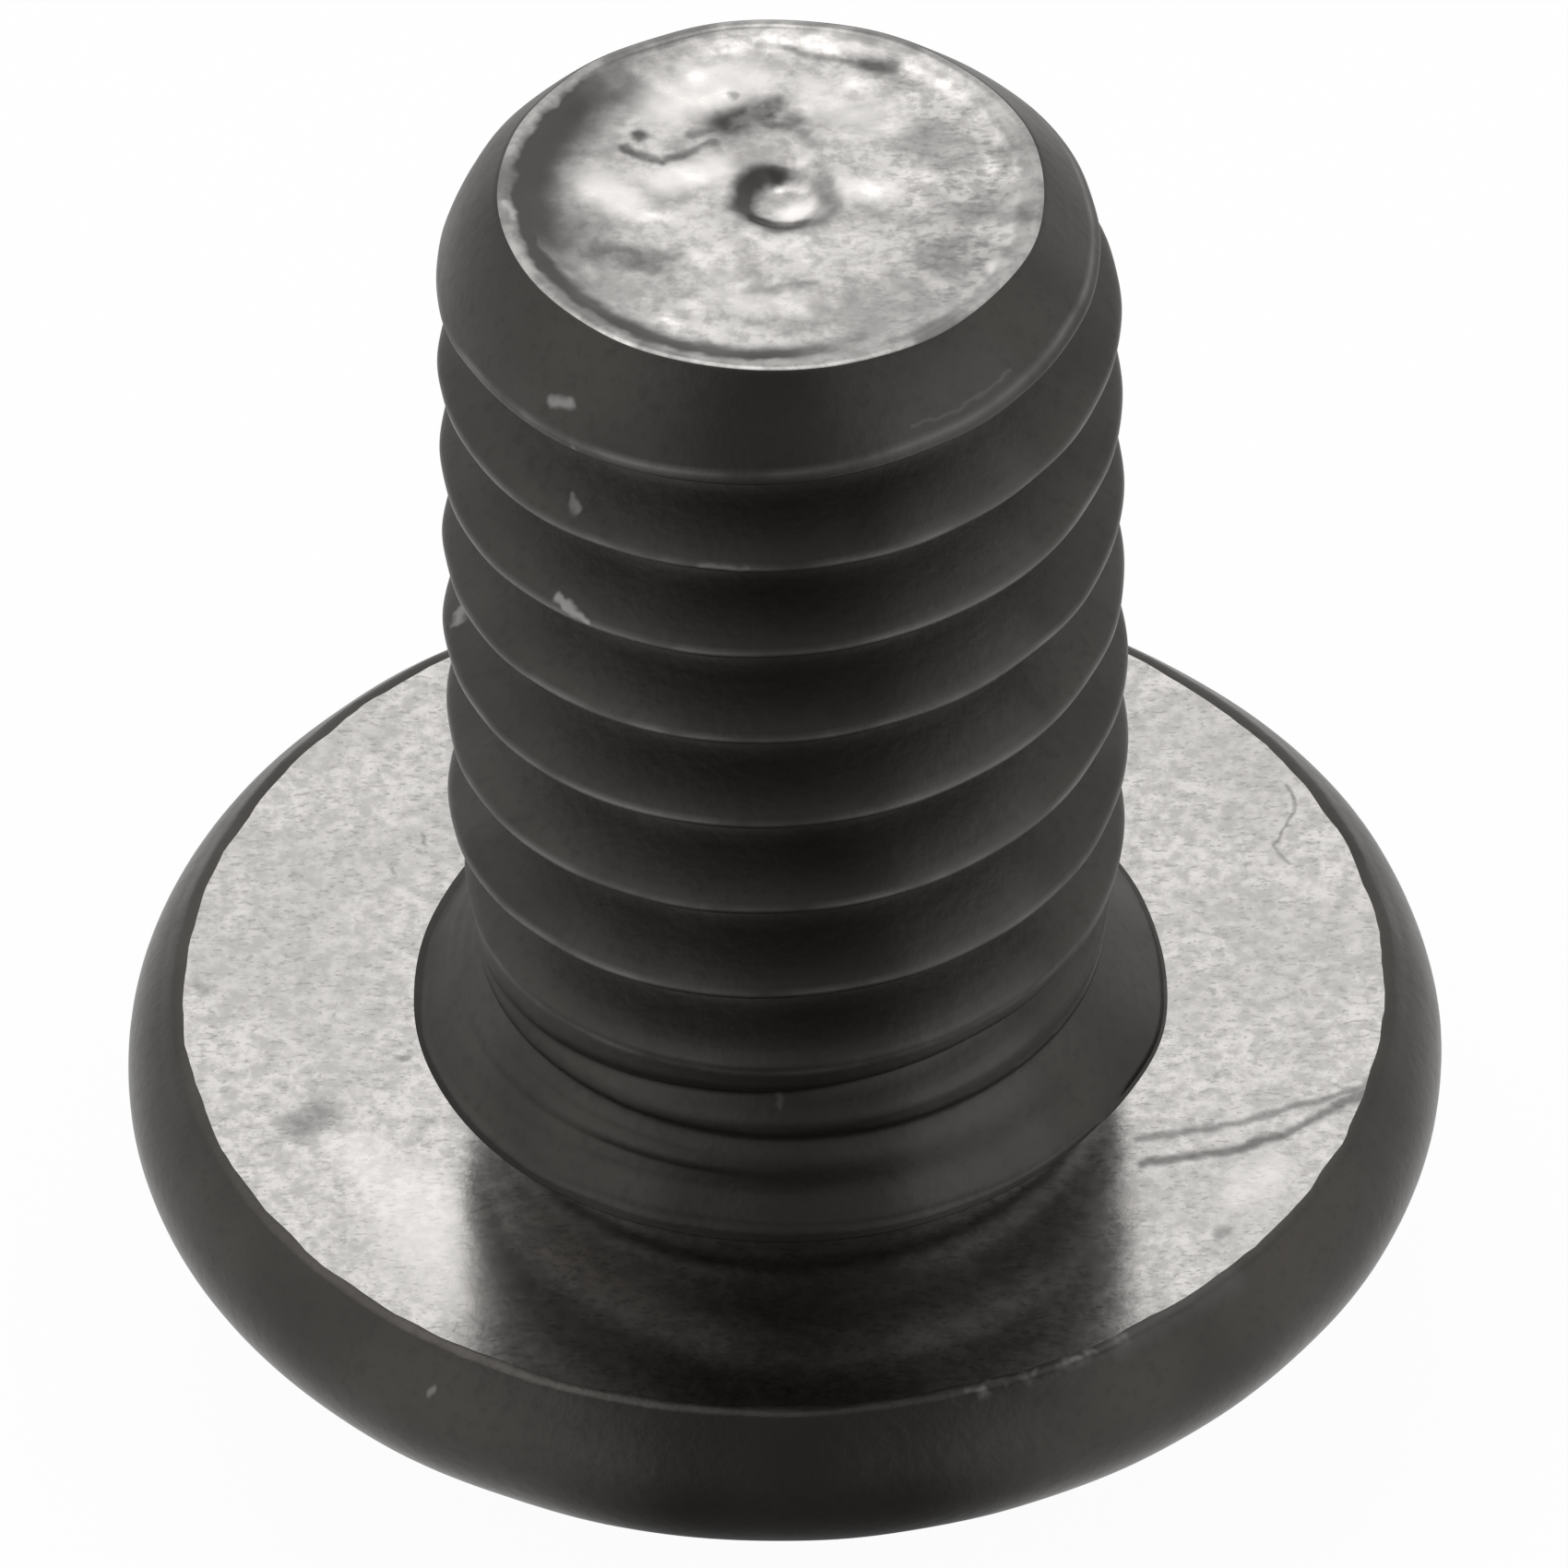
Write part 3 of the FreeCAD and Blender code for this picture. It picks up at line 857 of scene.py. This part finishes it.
def end_steel():
    """Mottled bright steel with soft clouds, stains, painted highlights, painted shade in the
    hollow at the left and in the dimple, and a lip in a darker grey.
    """
    g = Graph(bpy.data.materials.new("end_steel"))
    mm, flat = steel_places(g)
    cloud = g.noise(mm, 2.4, 4.0, 0.6)
    grain = g.noise(mm, 12.0, 3.0, 0.65)
    crackle = g.noise(g.vector("MULTIPLY", mm, (1, 1.8, 1)), 17.0, 2.0, 0.6)
    right = g.span(g.vector("DOT_PRODUCT", flat, (1, 0, 0)), 0.05, 0.9, 0.12, 0.55)
    right = g.math("MULTIPLY", right, g.span(g.vector("LENGTH", flat), 1.02, 1.08, 1, 0.2))
    colour = g.mix(g.span(cloud, 0.36, 0.60), grey(0.36), grey(0.62))
    colour = g.mix(g.math("MULTIPLY", g.span(grain, 0.42, 0.66), 0.55), colour, grey(0.27))
    colour = g.mix(g.math("MULTIPLY", g.span(crackle, 0.48, 0.66), right), colour, grey(0.20))
    # Painted highlights, and one bright nick.
    colour = g.mix(face_marks(g, flat, END_FACE_GLINTS), colour, grey(GLINT))
    mottle = g.span(g.noise(mm, 9.0, 3.0), 0.34, 0.56, 0.72, 1.0)
    stains = g.math("MULTIPLY", face_marks(g, flat, END_FACE_STAINS), mottle)
    colour = g.mix(stains, colour, grey(END_STAIN))

    # Painted shade in the hollow at the left and a painted shadow in the groove inside the lip, and
    # the lip in a darker grey, which follow the swell.
    away = g.vector("NORMALIZE", flat)
    swell = g.span(g.vector("DOT_PRODUCT", away, (*SWELL_AT, 0)), *SWELL_SPREAD, 0, END_SWELL)
    reach = g.math("SUBTRACT", g.vector("LENGTH", flat), swell)
    left = g.vector("DOT_PRODUCT", away, HOLLOW_AT)
    front_left = g.vector("DOT_PRODUCT", away, LIP_GROOVE_AT)
    hollow = g.math("MULTIPLY", g.span(reach, 0.72, 0.97), g.span(left, 0.56, 0.92))
    groove = g.math("MULTIPLY", g.span(reach, 0.94, 1.03), g.span(front_left, 0.15, 0.70))
    hollow = g.math("MAXIMUM", hollow, groove)
    hollow = g.math("MULTIPLY", hollow, g.span(reach, 1.07, 1.12, 1, 0))
    colour = g.mix(hollow, colour, grey(0.075))
    lip = g.math("MULTIPLY", g.span(reach, 1.07, 1.11), g.span(cloud, 0.36, 0.60, 0.75, 0.40))
    colour = g.mix(lip, colour, grey(0.12))

    # The dimple's shaded wall, a crescent that is darkest at the left.
    dimple_x = DIMPLE_PLACE[0] + SHANK_OFFSET + END_SHIFT
    from_dimple = g.vector("SUBTRACT", flat, (dimple_x, DIMPLE_PLACE[1], 0))
    ring = g.vector("LENGTH", from_dimple)
    side = g.vector("DOT_PRODUCT", g.vector("NORMALIZE", from_dimple), CRESCENT_AT)
    crescent = g.math("MULTIPLY", g.span(ring, 0.10, 0.16), g.span(ring, 0.20, 0.28, 1, 0))
    crescent = g.math("MULTIPLY", crescent, g.span(side, -0.7, 0.4, 0.50, 0.97))
    colour = g.mix(crescent, colour, grey(0.05))
    return steel(g, colour, g.span(cloud, 0.3, 0.7, 0.24, 0.30), grain, END_RELIEF)


# Stage and light: a white studio that is darker towards the front and overhead.
# Lengths here are in metres. The floor lies a hair below the screw.
FLOOR_GLOW = 0.96
FLOOR_HALF = 2.0
FLOOR_GAP = 0.000002
FRONT_LEVEL = 0.20
SIDE_LEVEL = 1.05
SIDE_START, SIDE_FULL = 0.15, 0.70
BACK_START, BACK_FULL = -0.10, 0.60


def studio_level(g, direction):
    """How bright the studio is in a direction."""
    across = g.math("ABSOLUTE", g.vector("DOT_PRODUCT", direction, (1, 0, 0)))
    back = g.vector("DOT_PRODUCT", direction, (0, 1, 0))
    share = g.math("MAXIMUM", g.span(across, SIDE_START, SIDE_FULL),
                   g.span(back, BACK_START, BACK_FULL))
    return g.span(share, 0, 1, FRONT_LEVEL, SIDE_LEVEL)


def floor_white():
    """White for the camera, the studio's level for reflections, with the object's shadow kept."""
    g = Graph(bpy.data.materials.new("floor_white"))
    rays = g.node("ShaderNodeLightPath")
    seen = g.math("MAXIMUM", rays.outputs["Is Camera Ray"], rays.outputs["Is Glossy Ray"])
    seen = g.math("MAXIMUM", seen, rays.outputs["Is Transmission Ray"])
    place = g.node("ShaderNodeTexCoord").outputs["Object"]
    level = studio_level(g, g.vector("NORMALIZE", place))
    strength = g.blend(rays.outputs["Is Camera Ray"], level, 1.0)
    diffuse = g.node("ShaderNodeBsdfDiffuse", {"Color": (0.95, 0.95, 0.95, 1)})
    glow = g.node("ShaderNodeEmission", {"Color": (1, 1, 1, 1), "Strength": strength})
    share = g.math("MULTIPLY", seen, FLOOR_GLOW)
    surface = g.node("ShaderNodeMixShader", {0: share, 1: diffuse.outputs[0], 2: glow.outputs[0]})

    # From below the floor is clear, so that views from underneath show the screw.
    clear = g.node("ShaderNodeBsdfTransparent")
    under = g.node("ShaderNodeNewGeometry").outputs["Backfacing"]
    both = g.node("ShaderNodeMixShader", {0: under, 1: surface.outputs[0], 2: clear.outputs[0]})
    g.node("ShaderNodeOutputMaterial", {"Surface": both.outputs[0]})
    return g.owner


def make_floor():
    """The plain floor under the screw."""
    half = FLOOR_HALF
    mesh = bpy.data.meshes.new("floor")
    corners = [(-half, -half), (half, -half), (half, half), (-half, half)]
    mesh.from_pydata([(x, y, -FLOOR_GAP) for x, y in corners], [], [(0, 1, 2, 3)])
    floor = bpy.data.objects.new("floor", mesh)
    bpy.context.scene.collection.objects.link(floor)
    floor.data.materials.append(floor_white())


def make_world():
    """The studio's light from all round, plain white where the camera sees it."""
    world = bpy.data.worlds.new("studio")
    bpy.context.scene.world = world
    g = Graph(world)
    camera = g.node("ShaderNodeLightPath").outputs["Is Camera Ray"]
    direction = g.node("ShaderNodeTexCoord").outputs["Generated"]
    strength = g.blend(camera, studio_level(g, direction), 1.0)
    light = g.node("ShaderNodeBackground", {"Color": (1, 1, 1, 1), "Strength": strength})
    g.node("ShaderNodeOutputWorld", {"Surface": light.outputs[0]})


def softbox(name, azimuth, elevation, distance, width, height, radiance):
    """A soft lamp aimed at the screw. Azimuth 0 is in front of it and 180 behind it."""
    lamp = bpy.data.lights.new(name, "AREA")
    lamp.shape = "RECTANGLE"
    lamp.size, lamp.size_y = width, height
    lamp.energy = math.pi * width * height * radiance
    holder = bpy.data.objects.new(name, lamp)
    bpy.context.scene.collection.objects.link(holder)
    a, e = math.radians(azimuth), math.radians(elevation)
    back = Vector((math.sin(a) * math.cos(e), -math.cos(a) * math.cos(e), math.sin(e)))
    holder.location = back * distance + Vector((0, 0, TIP_Z * MM / 2))
    holder.rotation_euler = back.to_track_quat("Z", "Y").to_euler()
    holder.visible_camera = False


# Camera, at the angle that the screw's outlines give, in degrees and millimetres. Its aim lies
# to the right of the bearing face's centre and above it.
CAMERA_ELEVATION = 43.043
CAMERA_ROLL = 1.170
CAMERA_DISTANCE = 300.0
PHOTO_SIZE = 1700
PIXELS_PER_MM = 250.50
AIM_RIGHT, AIM_UP = 0.0203, 0.8961
SENSOR = 36.0


def make_camera():
    """A square frame, whose scale is given in the photo's pixels."""
    e, roll = math.radians(CAMERA_ELEVATION), math.radians(CAMERA_ROLL)
    forward = Vector((0, math.cos(e), -math.sin(e)))
    up = Vector((0, math.sin(e), math.cos(e)))
    right = Vector((1, 0, 0))
    aim = right * AIM_RIGHT + up * AIM_UP + Vector((0, 0, HEAD_HEIGHT))
    across = math.cos(roll) * right - math.sin(roll) * up
    upward = math.sin(roll) * right + math.cos(roll) * up
    data = bpy.data.cameras.new("camera")
    data.sensor_width = SENSOR
    data.lens = SENSOR * PIXELS_PER_MM * CAMERA_DISTANCE / PHOTO_SIZE
    data.clip_start = CAMERA_DISTANCE * MM / 10
    data.clip_end = CAMERA_DISTANCE * MM * 20
    camera = bpy.data.objects.new("camera", data)
    bpy.context.scene.collection.objects.link(camera)
    turn = Matrix((across, upward, -forward)).transposed().to_4x4()
    camera.matrix_world = Matrix.Translation((aim - forward * CAMERA_DISTANCE) * MM) @ turn
    bpy.context.scene.camera = camera


screw = build_screw()
for material in (black_oxide(), bearing_steel(), end_steel()):
    screw.data.materials.append(material)
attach(screw, "root")
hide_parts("screw")
make_floor()
make_world()
softbox("back_softbox", azimuth=205, elevation=66, distance=0.5, width=0.32, height=0.26,
        radiance=1.5)
make_camera()
bpy.context.scene.view_settings.view_transform = "Standard"
